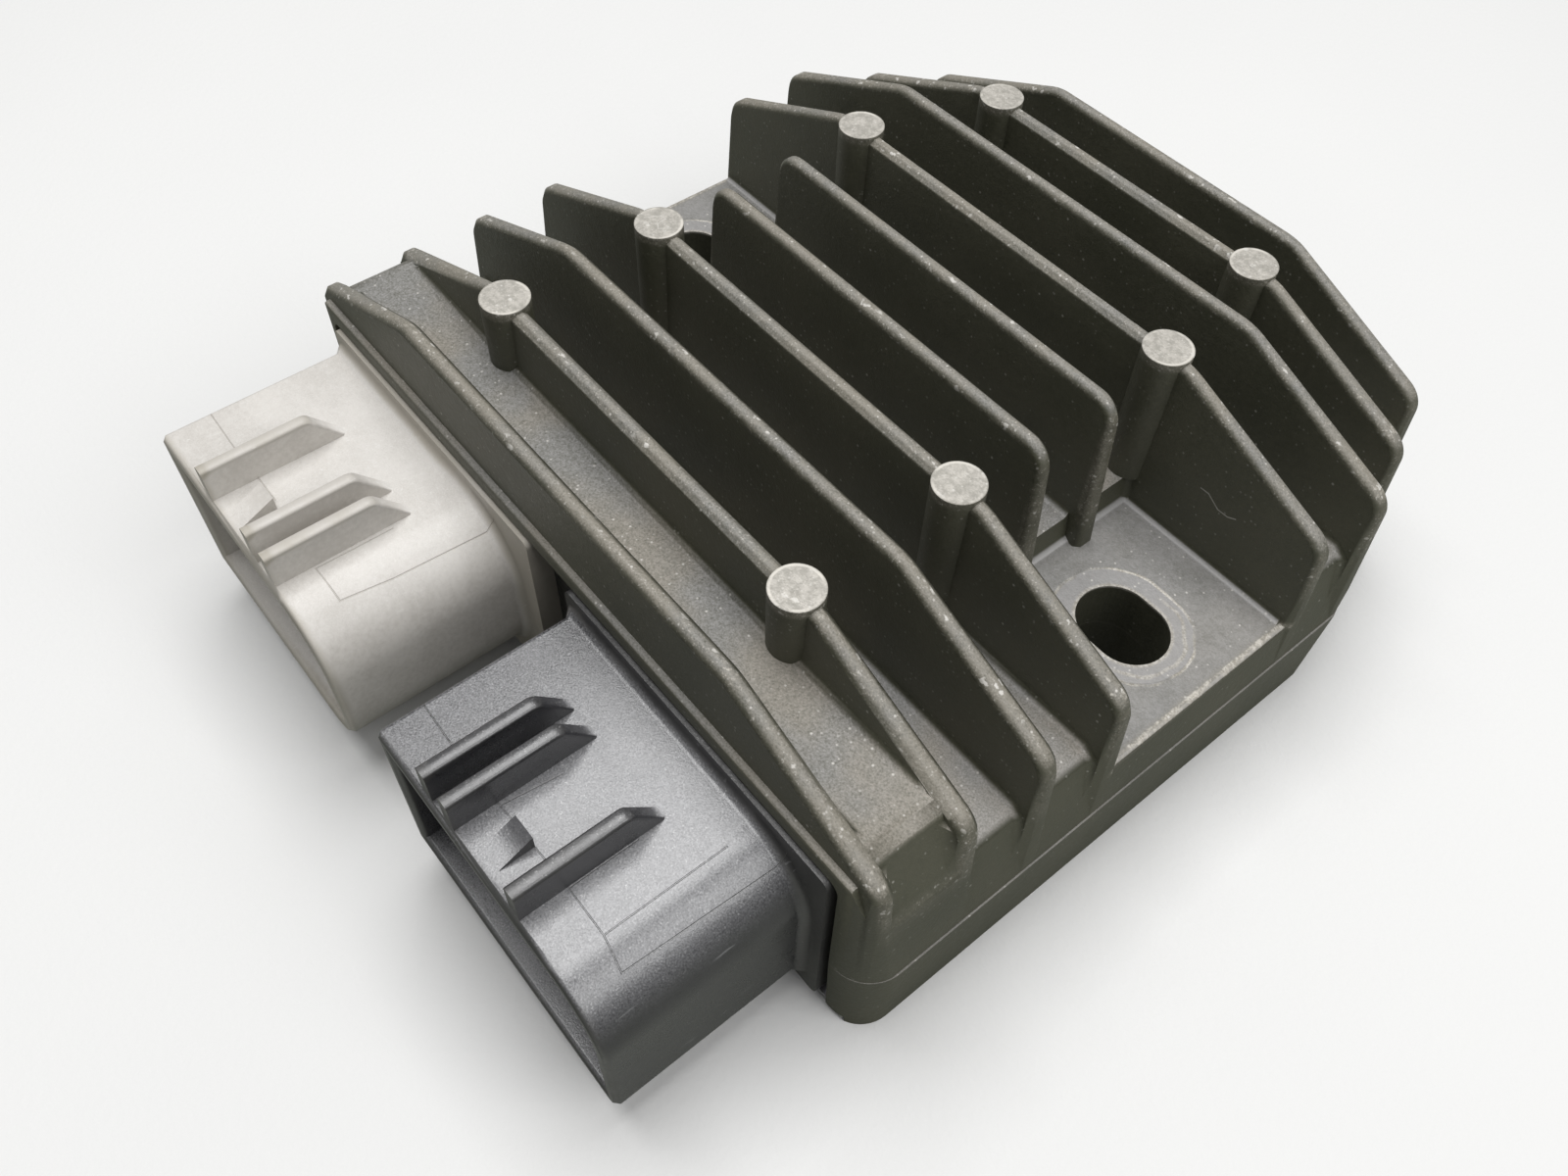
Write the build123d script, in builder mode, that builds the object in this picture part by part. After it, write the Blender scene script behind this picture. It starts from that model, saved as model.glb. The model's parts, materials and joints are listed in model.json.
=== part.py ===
from build123d import *

import os
from math import radians, tan

os.makedirs("parts", exist_ok=True)

# Sealed regulator rectifier with a finned die-cast case and two plug sockets.
# Millimetres. The origin is on the underside, midway between the mounting slots.
# X runs along the fins, -Y is the socket end and +Z is up.

# Case outline
case_wall = 4.35
front_corner_radius = 4.0
rear_corner_radius = 4.0
rear_taper = 7.3
rear_margin = 2.75
parting_height = 11.0
parting_step = 0.16
lower_draft = 2.0
side_draft = 12.0
rear_draft = 2.0
side_edge = 0.9

# Fin pack
fin_count = 10
fin_pitch = 8.5
fin_height = 14.7
fin_tip = 1.7
fin_draft = 1.2
fin_edge = 0.55
fin_corner_radius = 3.0
fin_bend_radius = 6.0
fin_root = 0.7
fin_end_draft = 3.2
fin_slope_run = 18.2
fin_slope_drop = 7.6
rear_fin_inset = 3.5
rear_fin_drop = 1.65
short_fin_overhang = 1.0
short_fin_corner_radius = 2.6
pad_first_fin = 3
pad_last_fin = 6

# Ejector bosses on the fins
boss_fins = (1, 3, 6, 8)
boss_diameter = 4.7
boss_proud = 0.3
boss_from_bend = 2.7

# Casting levels above the underside
floor_height = 20.0
floor_wall = 3.0
pad_height = 16.8
pad_width = 20.9
pad_wall = 2.2
pad_draft = 6.0
pad_edge_radius = 0.6
roof_wall = 2.7
roof_slope_run = 3.0
roof_slope_drop = 7.2
roof_edge_radius = 1.4
roof_shoulder_radius = 2.0
ledge_drop = 1.2
ledge_depth = 1.75
ledge_radius = 0.5

# Mounting slots
slot_from_side = 10.25
slot_width = 7.4
slot_length = 9.2

# Cavity and bottom plate
cavity_corner_radius = 3.0
cavity_neck_chamfer = 2.0
neck_wall = 2.4
plate_thickness = 0.8
plate_overlap = 2.0
plate_recess = 0.2
plate_gap = 0.15
plate_setback = 0.7
opening_radius = 1.2

# Socket housings
socket_gap = 5.9
socket_base = 2.9
flange_height = 22.1
flange_thickness = 2.2
flange_radius = 0.8
flange_proud = 0.4
flange_gap = 0.3
flange_side_gap = 0.7
shroud_height = 18.5
shroud_length = 19.0
shroud_inset = 1.2
shroud_wall = 1.6
shroud_sharp_radius = 0.5
shroud_round_radius = 6.5
shroud_root = 0.9
grey_low_radius = 6.5
black_low_radius = 1.5
shroud_rim = 0.45
socket_floor = 3.0
stem_length = 5.0
stem_margin = 3.0

# Guide ribs and catch of each shroud, measured from its left edge and its mouth
rib_height = 3.6
rib_width = 1.4
rib_rear = 5.2
rib_slope = 3.0
rib_front_gap = 0.4
rib_edge = 0.3
rib_bend_radius = 1.2
grey_ribs = (9.75, 18.55, 21.95)
black_ribs = (7.6, 10.8, 19.95)
grey_catch = 13.6
black_catch = 15.2
catch_width = 2.4
catch_length = 3.3
catch_height = 1.5
catch_front_gap = 1.2

# Blade terminals
blade_width = 6.3
blade_thickness = 0.8
blade_gap = 2.7
blade_count = 3
blade_left_gap = 2.3
grey_blade_gap = 0.5
black_blade_gap = 1.4
blade_tip_depth = 5.2
blade_chamfer = 0.3
leg_width = 2.2
leg_reach = 3.0

# Boards and devices in the cavity
sheet_thickness = 0.3
sheet_margin = 0.5
board_thickness = 1.6
board_side_gap = 4.0
board_wing_length = 12.0
board_neck_gap = 1.4
board_front_gap = 2.4
board_rear_gap = 6.85
device_count = 6
device_width = 10.2
device_length = 9.2
device_height = 4.4
device_column = 16.4
device_row = 13.6
device_start = 9.6
device_tab = 1.3
device_tab_reach = 1.2
device_leg = 0.8
device_leg_reach = 2.6
control_side_gap = 2.9
control_length = 44.0
control_height = 3.4
control_rear_gap = 1.5
control_board_thickness = 1.6
chip_width = 7.5
chip_length = 10.3
chip_height = 2.4
can_diameter = 8.0
can_gap = 0.6
pin_size = 0.64
pin_pitch = 2.54
pin_count = 6
pin_rear = 3.0
screw_diameter = 2.5
screw_head = 4.7
screw_head_height = 1.5
screw_bite = 2.0
screw_inset = 3.2
screw_gap = 0.1

# Places that follow from the sizes above
blade_pitch = blade_width + blade_gap
blade_row = blade_count * blade_width + (blade_count - 1) * blade_gap
flange_width = 2 * (blade_row / 2 + blade_left_gap + shroud_wall + shroud_inset)
grey_shroud_width = blade_row + blade_left_gap + grey_blade_gap + 2 * shroud_wall
black_shroud_width = blade_row + blade_left_gap + black_blade_gap + 2 * shroud_wall
socket_pitch = flange_width + socket_gap
opening_half = socket_pitch / 2 + flange_width / 2 + flange_side_gap
half_width = opening_half + case_wall
case_width = 2 * half_width
rear_half = half_width - rear_taper
fin_places = [fin_pitch * (index - (fin_count - 1) / 2) for index in range(fin_count)]
case_front = ledge_depth - fin_places[0]
case_rear = fin_places[-1] + rear_margin
slot_spacing = 2 * (half_width - slot_from_side)
pad_inner = half_width - pad_width
short_fin_half = pad_inner + short_fin_overhang
cavity_neck_half = pad_inner - pad_wall
upper_half = half_width - parting_step
upper_rear = case_rear - parting_step
fin_top = floor_height + fin_height
fin_end = upper_half - (fin_top - fin_slope_drop - parting_height) * tan(radians(fin_end_draft))
flange_top = socket_base + flange_height
opening_top = flange_top + flange_gap
taper_start = fin_places[fin_count - 3]
roof_height = opening_top + roof_wall
ledge_height = roof_height - ledge_drop
front_cavity_end = fin_places[1] - fin_tip / 2
pad_front = fin_places[pad_first_fin]
pad_rear = fin_places[pad_last_fin]
ceiling = floor_height - floor_wall
plate_top = plate_recess + plate_thickness
flange_front = -case_front - flange_proud
flange_back = flange_front + flange_thickness
mouth = flange_front - shroud_length
shroud_base = socket_base + (flange_height - shroud_height) / 2
shroud_top = shroud_base + shroud_height
blade_level = shroud_base + shroud_height / 2
board_top = ceiling - sheet_thickness
board_bottom = board_top - board_thickness
board_front = front_cavity_end + board_front_gap
board_rear = case_rear - case_wall - board_rear_gap
board_length = board_rear - board_front
board_wing_rear = board_front + board_wing_length
board_wing_half = opening_half - board_side_gap
board_neck_half = cavity_neck_half - board_neck_gap
control_rear = board_rear - control_rear_gap
control_top = control_height + control_board_thickness
control_width = 2 * (cavity_neck_half - control_side_gap)
device_end = board_front + device_start + (device_count / 2 - 1) * device_row + device_length / 2
can_place = device_end + device_leg_reach + can_diameter / 2
screw_row = board_wing_rear - screw_inset
screw_places = [(side * (board_wing_half - screw_inset), screw_row) for side in (-1, 1)]


def drafted(reach, height, level, draft):
    """Reach at a level of a wall that leans in by its draft above a given height."""
    return reach - (level - height) * tan(radians(draft))


class FinShape:
    """Outline of one fin, numbered from the socket end."""

    def __init__(self, index):
        step = max(0, index - (fin_count - 3))
        self.place = fin_places[index]
        self.short = pad_front < self.place < pad_rear
        self.top = fin_top - rear_fin_drop * step
        self.end = short_fin_half if self.short else fin_end - rear_fin_inset * step
        self.bend = self.end - fin_slope_run
        self.corner = self.top if self.short else self.top - fin_slope_drop

    def half_length(self, level):
        """Half length of the fin at a level, below its corner or on the slope above it."""
        if level > self.corner:
            return self.end - (level - self.corner) * fin_slope_run / fin_slope_drop
        return drafted(self.end, self.corner, level, fin_end_draft)

    def front(self, level):
        """Place of the fin's drafted front face at a level."""
        return self.place - drafted(fin_tip / 2, self.top, level, fin_draft)

    def rear(self, level):
        """Place of the fin's drafted rear face at a level."""
        return self.place + drafted(fin_tip / 2, self.top, level, fin_draft)


fin_shapes = [FinShape(index) for index in range(fin_count)]


def section(plane, corners):
    """Closed profile on a plane, from corners given as two coordinates and a radius."""
    with BuildSketch(plane) as profile:
        with BuildLine():
            Polyline(*[(x, y) for x, y, radius in corners], close=True)
        make_face()
        for x, y, radius in corners:
            if radius > 0:
                fillet(profile.vertices().sort_by_distance((x, y))[0], radius)
    return profile.sketch


def both_sides(corners):
    """Right-hand corners, listed in order, and the left-hand corners that mirror them."""
    return corners + [(-x, y, radius) for x, y, radius in reversed(corners)]


def front_plane(place):
    """Upright plane across the case at a place along Y, facing the socket end."""
    return Plane.XZ.offset(-place)


def wall_section(low, high, bottom, top, radius=0):
    """Section across the fins between two faces, each a place that depends on the level."""
    lower_edge = [(low(bottom), bottom, radius), (high(bottom), bottom, radius)]
    upper_edge = [(high(top), top, 0), (low(top), top, 0)]
    return section(Plane.YZ, lower_edge + upper_edge)


def uprights(part):
    """Edges of a part that climb by more than a millimetre."""
    return part.edges().filter_by(lambda edge: abs((edge @ 0).Z - (edge @ 1).Z) > 1)


def fin_solid(shape):
    """One fin: a drafted wall cut to its outline, with every free edge broken."""
    foot = (shape.half_length(parting_height), parting_height, 0)
    if shape.short:
        outline = [foot, (shape.end, shape.top, short_fin_corner_radius)]
    else:
        corner = (shape.end, shape.corner, fin_corner_radius)
        outline = [foot, corner, (shape.bend, shape.top, fin_bend_radius)]
    with BuildPart() as fin:
        wall = wall_section(shape.front, shape.rear, parting_height, shape.top)
        extrude(wall, amount=case_width, both=True)
        outside = section(Plane.XZ, both_sides(outline))
        extrude(outside, amount=case_width, both=True, mode=Mode.INTERSECT)
        walls = fin.faces().sort_by(Axis.Y)
        rims = walls[0].edges() + walls[-1].edges()
        chamfer(rims.filter_by(lambda edge: (edge @ 0.5).Z > parting_height + fin_root), fin_edge)
    return fin.part


def valley_tool(first, last, below):
    """Space between two fins above the casting, with its lower edges broken."""
    with BuildPart() as valley:
        space = wall_section(first.rear, last.front, parting_height, fin_top)
        extrude(space, amount=case_width, both=True)
        add(below, mode=Mode.SUBTRACT)
        walls = valley.faces().filter_by(lambda face: abs(face.normal_at().Y) > 0.9).sort_by(Axis.Y)
        edges = walls[0].edges() + walls[-1].edges()
        inner = edges.filter_by(lambda edge: abs((edge @ 0.5).X) < half_width)
        chamfer(inner.filter_by(lambda edge: (edge @ 0.5).Z < fin_top - fin_root), fin_root)
    return valley.part


def root_outline(shape, top):
    """Outline along a fin for its flared foot, kept inside the broken edges of the fin."""
    shoulder = min(top, shape.corner - 2 * fin_edge)
    outline = [
        (shape.half_length(parting_height) - fin_edge, parting_height, 0),
        (shape.half_length(shoulder) - fin_edge, shoulder, 0),
    ]
    if top > shoulder:
        slope_inset = fin_edge * fin_slope_run / fin_slope_drop
        outline.append((shape.half_length(top) - slope_inset, top, 0))
    return both_sides(outline)


def valley_roots(first, last, below, level):
    """Feet of two neighbouring fins, flared into the casting."""
    middle = (first.place + last.place) / 2
    top = level + 2 * fin_root
    with BuildPart() as roots:
        for shape, start, end in ((first, first.place, middle), (last, middle, last.place)):
            extrude(section(front_plane(end), root_outline(shape, top)), amount=end - start)
        add(valley_tool(first, last, below), mode=Mode.SUBTRACT)
    return roots.part


fins = [fin_solid(shape) for shape in fin_shapes]

# Floor of the casting, with its drafted sides and narrowed rear
taper_slope = (half_width - rear_half) / (case_rear - taper_start)
beyond = case_rear + floor_height
with BuildPart() as core:
    sides = [
        (upper_half, -beyond, 0),
        (upper_half, taper_start, 0),
        (upper_half - taper_slope * (beyond - taper_start), beyond, 0),
    ]
    plan = section(Plane.XY.offset(parting_height), both_sides(sides))
    extrude(plan, amount=floor_height - parting_height, taper=side_draft)
    ends = [
        (-case_front, parting_height, 0),
        (upper_rear, parting_height, 0),
        (drafted(upper_rear, parting_height, floor_height, rear_draft), floor_height, 0),
        (-case_front, floor_height, 0),
    ]
    extrude(section(Plane.YZ, ends), amount=case_width, both=True, mode=Mode.INTERSECT)
    fillet(uprights(core).group_by(Axis.Y)[-1], rear_corner_radius)
    chamfer(core.faces().sort_by(Axis.Z)[-1].edges(), side_edge)

# Raised roof over the sockets, with the ledge in front of the first fin
shoulder_height = roof_height - roof_slope_drop
shoulder_half = drafted(upper_half, parting_height, shoulder_height, fin_end_draft)
roof_outline = both_sides(
    [
        (upper_half, parting_height, 0),
        (shoulder_half, shoulder_height, roof_shoulder_radius),
        (shoulder_half - roof_slope_run, roof_height, roof_edge_radius),
    ]
)
with BuildPart() as roof:
    extrude(section(front_plane(fin_places[1]), roof_outline), amount=fin_places[1] + case_front)
    with BuildSketch(Plane.YZ):
        with Locations((-case_front, ledge_height)):
            Rectangle(fin_places[0] + case_front, case_width, align=(Align.MIN, Align.MIN))
    extrude(amount=case_width, both=True, mode=Mode.SUBTRACT)
    brow = roof.edges().filter_by(lambda e: abs((e @ 0.5).Z - ledge_height) < 0.01)
    fillet(brow.group_by(Axis.Y)[0], ledge_radius)

# Mounting pads, set below the floor beside the two short fins
pad_half = drafted(upper_half, parting_height, pad_height, pad_draft)
pad_step = drafted(pad_inner, floor_height, pad_height, pad_draft)
with BuildPart() as pads:
    right_pad = [
        (pad_inner, parting_height, 0),
        (upper_half, parting_height, 0),
        (pad_half, pad_height, pad_edge_radius),
        (pad_inner, pad_height, 0),
    ]
    extrude(section(front_plane(pad_rear), right_pad), amount=pad_rear - pad_front)
    mirror(about=Plane.YZ)

with BuildPart() as pad_recess:
    walls = (fin_shapes[pad_first_fin].rear, fin_shapes[pad_last_fin].front)
    extrude(wall_section(*walls, pad_height, fin_top), amount=case_width)
    step = [
        (pad_step, pad_height, 0),
        (case_width, pad_height, 0),
        (case_width, fin_top, 0),
        (drafted(pad_inner, floor_height, fin_top, pad_draft), fin_top, 0),
    ]
    extrude(section(Plane.XZ, step), amount=case_width, both=True, mode=Mode.INTERSECT)
    base = pad_recess.faces().sort_by(Axis.Z)[0]
    lower_edges = base.edges().sort_by(Axis.X)[:-1]
    chamfer(uprights(pad_recess).group_by(Axis.X)[0] + lower_edges, fin_root)
    mirror(about=Plane.YZ)

# Channels between the fins in the middle, flush with the steps down to the pads
channel_top = floor_height + 2 * fin_root
with BuildPart() as channels:
    for index in range(pad_first_fin, pad_last_fin):
        first, last = fin_shapes[index : index + 2]
        width = last.place - first.place
        with BuildSketch(Plane.YZ):
            with Locations((first.place, parting_height)):
                Rectangle(width, channel_top - parting_height, align=(Align.MIN, Align.MIN))
        extrude(amount=pad_inner, both=True)
        channel = wall_section(first.rear, last.front, floor_height, fin_top, fin_root)
        extrude(channel, amount=case_width, both=True, mode=Mode.SUBTRACT)

# Cavity that is open at the socket end and necked in between the pads
neck_length = pad_rear - pad_front + 2 * neck_wall
with BuildSketch() as cavity_plan:
    sides = [(half_width, -case_front, 0), (half_width, taper_start, 0), (rear_half, case_rear, 0)]
    add(section(Plane.XY, both_sides(sides)))
    offset(amount=-case_wall, kind=Kind.INTERSECTION, mode=Mode.REPLACE)
    with Locations((0, -case_front - case_wall)):
        Rectangle(2 * opening_half, 3 * case_wall, align=(Align.CENTER, Align.MIN))
    for side in (-1, 1):
        with Locations((side * (cavity_neck_half + half_width), 0)):
            Rectangle(2 * half_width, neck_length, mode=Mode.SUBTRACT)
    fillet(cavity_plan.vertices().group_by(Axis.Y)[-1], cavity_corner_radius)
    neck_corners = cavity_plan.vertices().filter_by(lambda vertex: abs(vertex.Y) < neck_length)
    chamfer(neck_corners, cavity_neck_chamfer)

with BuildPart() as cavity:
    extrude(cavity_plan.sketch, amount=ceiling)
    entry = [(opening_half, 0, 0), (opening_half, opening_top, opening_radius)]
    entry_length = front_cavity_end + case_front + case_wall
    extrude(section(front_plane(front_cavity_end), both_sides(entry)), amount=entry_length)


# Bottom plate and the rebate it lies in
def plate_outline(grow):
    """Outline of the cavity grown by its overlap, open towards the socket end."""
    with BuildSketch() as plan:
        add(cavity_plan.sketch)
        offset(amount=grow, kind=Kind.INTERSECTION, mode=Mode.REPLACE)
    return plan.sketch


def case_plan(inset):
    """Outline of the case at its parting line, drawn in at the sides and the rear."""
    corners = [
        (half_width - inset, -case_front, front_corner_radius),
        (half_width - inset, taper_start, 0),
        (rear_half - inset, case_rear - inset, rear_corner_radius),
    ]
    return section(Plane.XY.offset(parting_height), both_sides(corners))


# Heatsink case
with BuildPart() as heatsink_case:
    add(core.part)
    add(roof.part)
    add(channels.part)
    add(valley_roots(fin_shapes[0], fin_shapes[1], roof.part, roof_height))
    for index in range(1, fin_count - 1):
        if not pad_first_fin <= index < pad_last_fin:
            add(valley_roots(fin_shapes[index], fin_shapes[index + 1], core.part, floor_height))
    add(pad_recess.part, mode=Mode.SUBTRACT)
    add(pads.part)
    add(fins)
    extrude(case_plan(parting_step / 2), amount=fin_top, mode=Mode.INTERSECT)
    extrude(case_plan(0), amount=-parting_height, taper=lower_draft)
    for shape in [fin_shapes[index] for index in boss_fins]:
        boss_reach = shape.bend - boss_from_bend
        with BuildSketch(Plane.XY.offset(floor_height)):
            with Locations((-boss_reach, shape.place), (boss_reach, shape.place)):
                Circle(boss_diameter / 2)
        extrude(amount=shape.top + boss_proud - floor_height)
    add(cavity.part, mode=Mode.SUBTRACT)
    extrude(plate_outline(plate_overlap), amount=plate_top, mode=Mode.SUBTRACT)
    with BuildSketch():
        with GridLocations(slot_spacing, 0, 2, 1):
            SlotOverall(slot_length, slot_width)
    extrude(amount=pad_height, mode=Mode.SUBTRACT)
    with BuildSketch(Plane.XY.offset(ceiling)):
        with Locations(*screw_places):
            Circle(screw_diameter / 2)
    extrude(amount=screw_bite, mode=Mode.SUBTRACT)


def shroud_profile(left, width, low_radius, inward):
    """D-shaped section of a shroud, drawn in from its outside by a wall."""
    corners = [
        (left + inward, shroud_base + inward, shroud_sharp_radius),
        (left + width - inward, shroud_base + inward, low_radius),
        (left + width - inward, shroud_top - inward, shroud_round_radius),
        (left + inward, shroud_top - inward, shroud_sharp_radius),
    ]
    drawn_in = [(x, z, max(radius - inward, 0)) for x, z, radius in corners]
    return section(front_plane(flange_back), drawn_in)


def guide_rib(place):
    """Rib along a shroud's top, let into its wall, with broken crests and a sloping rear."""
    front = mouth + rib_front_gap
    rear = flange_front - rib_rear
    crest = shroud_top + rib_height
    root = shroud_top - shroud_wall / 2
    profile = [
        (front, root, 0),
        (front, crest, 0),
        (rear - rib_slope, crest, rib_bend_radius),
        (rear + rib_slope * (shroud_top - root) / rib_height, root, 0),
    ]
    with BuildPart() as rib:
        extrude(section(Plane.YZ.offset(place - rib_width / 2), profile), amount=rib_width)
        crests = rib.edges().filter_by(Axis.Y).group_by(Axis.Z)[-1]
        chamfer(crests, rib_edge)
    return rib.part


def socket_housing(centre, width, low_radius, ribs, catch):
    """Moulded socket: flange, stem behind it and D-shaped shroud with ribs and a catch."""
    left = centre - flange_width / 2 + shroud_inset
    outside = shroud_profile(left, width, low_radius, 0)
    inside = shroud_profile(left, width, low_radius, shroud_wall)
    middle = shroud_profile(left, width, low_radius, shroud_wall / 2)
    with BuildPart() as socket:
        with BuildSketch(front_plane(flange_back)):
            with Locations((centre, socket_base + flange_height / 2)):
                RectangleRounded(flange_width, flange_height, flange_radius)
        extrude(amount=flange_thickness)
        extrude(outside, amount=flange_thickness + shroud_length)
        root = socket.faces().filter_by(Axis.Y).sort_by(Axis.Y)[1]
        chamfer(root.inner_wires().edges(), shroud_root)
        extrude(inside, amount=flange_thickness + shroud_length, mode=Mode.SUBTRACT)
        chamfer(socket.faces().sort_by(Axis.Y)[0].edges(), shroud_rim)
        extrude(middle, amount=flange_thickness + socket_floor)
        with BuildSketch(front_plane(flange_back + stem_length)):
            with Locations((centre, blade_level)):
                Rectangle(flange_width - 2 * stem_margin, flange_height - 2 * stem_margin)
        extrude(amount=stem_length)
        for place in ribs:
            add(guide_rib(left + place))
        wedge_front = mouth + catch_front_gap
        wedge_rear = wedge_front + catch_length
        wedge = [
            (wedge_front, shroud_top - shroud_wall / 2, 0),
            (wedge_front, shroud_top, 0),
            (wedge_rear, shroud_top + catch_height, 0),
            (wedge_rear, shroud_top - shroud_wall / 2, 0),
        ]
        extrude(section(Plane.YZ.offset(left + catch - catch_width / 2), wedge), amount=catch_width)
        with BuildSketch(Plane.XY.offset(blade_level - blade_thickness / 2)):
            with Locations((centre, (mouth + flange_back + stem_length) / 2)):
                with GridLocations(blade_pitch, 0, blade_count, 1):
                    Rectangle(blade_width, flange_back + stem_length - mouth)
        extrude(amount=blade_thickness, mode=Mode.SUBTRACT)
    return socket.part


def terminal(place):
    """Blade whose leg passes under the power board and turns up against it."""
    stem_end = flange_back + stem_length
    leg_end = board_front + leg_reach
    with BuildPart() as blade:
        with BuildSketch(Plane.XY.offset(blade_level - blade_thickness / 2)) as outline:
            with BuildLine():
                right = [
                    (place + blade_width / 2, mouth + blade_tip_depth),
                    (place + blade_width / 2, stem_end),
                    (place + leg_width / 2, stem_end),
                    (place + leg_width / 2, leg_end),
                ]
                Polyline(*right, *[(2 * place - x, y) for x, y in reversed(right)], close=True)
            make_face()
            chamfer(outline.vertices().group_by(Axis.Y)[0], blade_chamfer)
        extrude(amount=blade_thickness)
        with BuildSketch(Plane.XY.offset(blade_level)):
            with Locations((place, leg_end - blade_thickness / 2)):
                Rectangle(leg_width, blade_thickness)
        extrude(amount=board_bottom - blade_level)
    return blade.part


# Bottom plate
with BuildPart() as bottom_plate:
    with BuildSketch(Plane.XY.offset(plate_recess)):
        add(plate_outline(plate_overlap - plate_gap))
        with Locations((0, plate_setback - case_front)):
            rear_side = (Align.CENTER, Align.MIN)
            Rectangle(case_width, case_width, align=rear_side, mode=Mode.INTERSECT)
    extrude(amount=plate_thickness)

# Sockets and their terminals
pieces = {"heatsink_case": heatsink_case.part, "bottom_plate": bottom_plate.part}
for name, centre, width, low_radius, ribs, catch in (
    ("grey", -socket_pitch / 2, grey_shroud_width, grey_low_radius, grey_ribs, grey_catch),
    ("black", socket_pitch / 2, black_shroud_width, black_low_radius, black_ribs, black_catch),
):
    pieces[f"{name}_socket_housing"] = socket_housing(centre, width, low_radius, ribs, catch)
    for number in range(blade_count):
        place = centre + (number - (blade_count - 1) / 2) * blade_pitch
        pieces[f"{name}_terminal_{number + 1}"] = terminal(place)

# Heat-transfer sheet and power board under the casting's ceiling
with BuildPart() as thermal_sheet:
    with BuildSketch(Plane.XY.offset(board_top)):
        with Locations((0, board_wing_rear - sheet_margin)):
            length = board_rear - board_wing_rear + 2 * sheet_margin
            Rectangle(2 * (board_neck_half + sheet_margin), length, align=(Align.CENTER, Align.MIN))
    extrude(amount=sheet_thickness)
with BuildPart() as power_board:
    with BuildSketch(Plane.XY.offset(board_bottom)):
        with Locations((0, board_front)):
            Rectangle(2 * board_wing_half, board_wing_length, align=(Align.CENTER, Align.MIN))
            Rectangle(2 * board_neck_half, board_length, align=(Align.CENTER, Align.MIN))
        with Locations(*screw_places):
            Circle(screw_diameter / 2 + screw_gap, mode=Mode.SUBTRACT)
    extrude(amount=board_thickness)


# Switching devices on the power board, in two columns
def power_device(x, y):
    """Flat package with its metal tab and two legs against the power board."""
    base = Plane.XY.offset(board_bottom)
    with BuildPart() as device:
        with BuildSketch(base.offset(-device_height)):
            with Locations((x, y)):
                Rectangle(device_width, device_length)
        extrude(amount=device_height)
        chamfer(device.faces().sort_by(Axis.Z)[0].edges(), blade_chamfer)
        with BuildSketch(base.offset(-device_tab)):
            with Locations((x, y - device_length / 2)):
                Rectangle(device_width, 2 * device_tab_reach)
            with Locations((x, y + device_length / 2)):
                with GridLocations(device_width / 2, 0, 2, 1):
                    Rectangle(device_leg, 2 * device_leg_reach)
        extrude(amount=device_tab)
    return device.part


pieces["thermal_sheet"] = thermal_sheet.part
pieces["power_board"] = power_board.part
for number in range(device_count):
    row, column = divmod(number, 2)
    x = (column - 0.5) * device_column
    y = board_front + device_start + row * device_row
    pieces[f"mosfet_{number + 1}"] = power_device(x, y)

# Control board with its chip, can and pins
with BuildPart() as control_board:
    with BuildSketch(Plane.XY.offset(control_height)):
        with Locations((0, control_rear)):
            Rectangle(control_width, control_length, align=(Align.CENTER, Align.MAX))
    extrude(amount=control_board_thickness)
with BuildPart() as control_chip:
    with BuildSketch(Plane.XY.offset(control_top)):
        with Locations((0, control_rear - control_length / 2)):
            Rectangle(chip_width, chip_length)
    extrude(amount=chip_height)
    chamfer(control_chip.faces().sort_by(Axis.Z)[-1].edges(), blade_chamfer)
with BuildPart() as filter_capacitor:
    with BuildSketch(Plane.XY.offset(control_top)):
        with Locations((0, can_place)):
            Circle(can_diameter / 2)
    extrude(amount=board_bottom - can_gap - control_top)
with BuildPart() as board_pins:
    with BuildSketch(Plane.XY.offset(control_top)):
        with Locations((0, board_rear - pin_rear)):
            with GridLocations(pin_pitch, 0, pin_count, 1):
                Rectangle(pin_size, pin_size)
    extrude(amount=board_bottom - control_top)
pieces["control_board"] = control_board.part
pieces["control_chip"] = control_chip.part
pieces["filter_capacitor"] = filter_capacitor.part
pieces["board_pins"] = board_pins.part

# Screws through the power board into the casting
with BuildPart() as board_screws:
    with BuildSketch(Plane.XY.offset(board_bottom - screw_head_height)):
        with Locations(*screw_places):
            RegularPolygon(screw_head / 2, 6, major_radius=False)
    extrude(amount=screw_head_height)
    with BuildSketch(Plane.XY.offset(board_bottom)):
        with Locations(*screw_places):
            Circle(screw_diameter / 2)
    extrude(amount=ceiling + screw_bite - board_bottom)
pieces["board_screws"] = board_screws.part

# Resin that fills what is left of the cavity
with BuildPart() as potting_resin:
    add(cavity.part)
    with BuildSketch(Plane.XY.offset(plate_top)):
        with Locations((0, flange_back)):
            Rectangle(case_width, case_width, align=(Align.CENTER, Align.MIN))
    extrude(amount=case_width, mode=Mode.INTERSECT)
    for name, piece in pieces.items():
        if name not in ("heatsink_case", "bottom_plate"):
            add(piece, mode=Mode.SUBTRACT)
    with BuildSketch(Plane.XY.offset(board_bottom)):
        with Locations(*screw_places):
            Circle(screw_diameter / 2 + screw_gap)
    extrude(amount=ceiling - board_bottom, mode=Mode.SUBTRACT)
pieces["potting_resin"] = potting_resin.part

for name, piece in pieces.items():
    piece.label = name
    export_step(piece, f"parts/{name}.step")
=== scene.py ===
import json
import math

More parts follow.
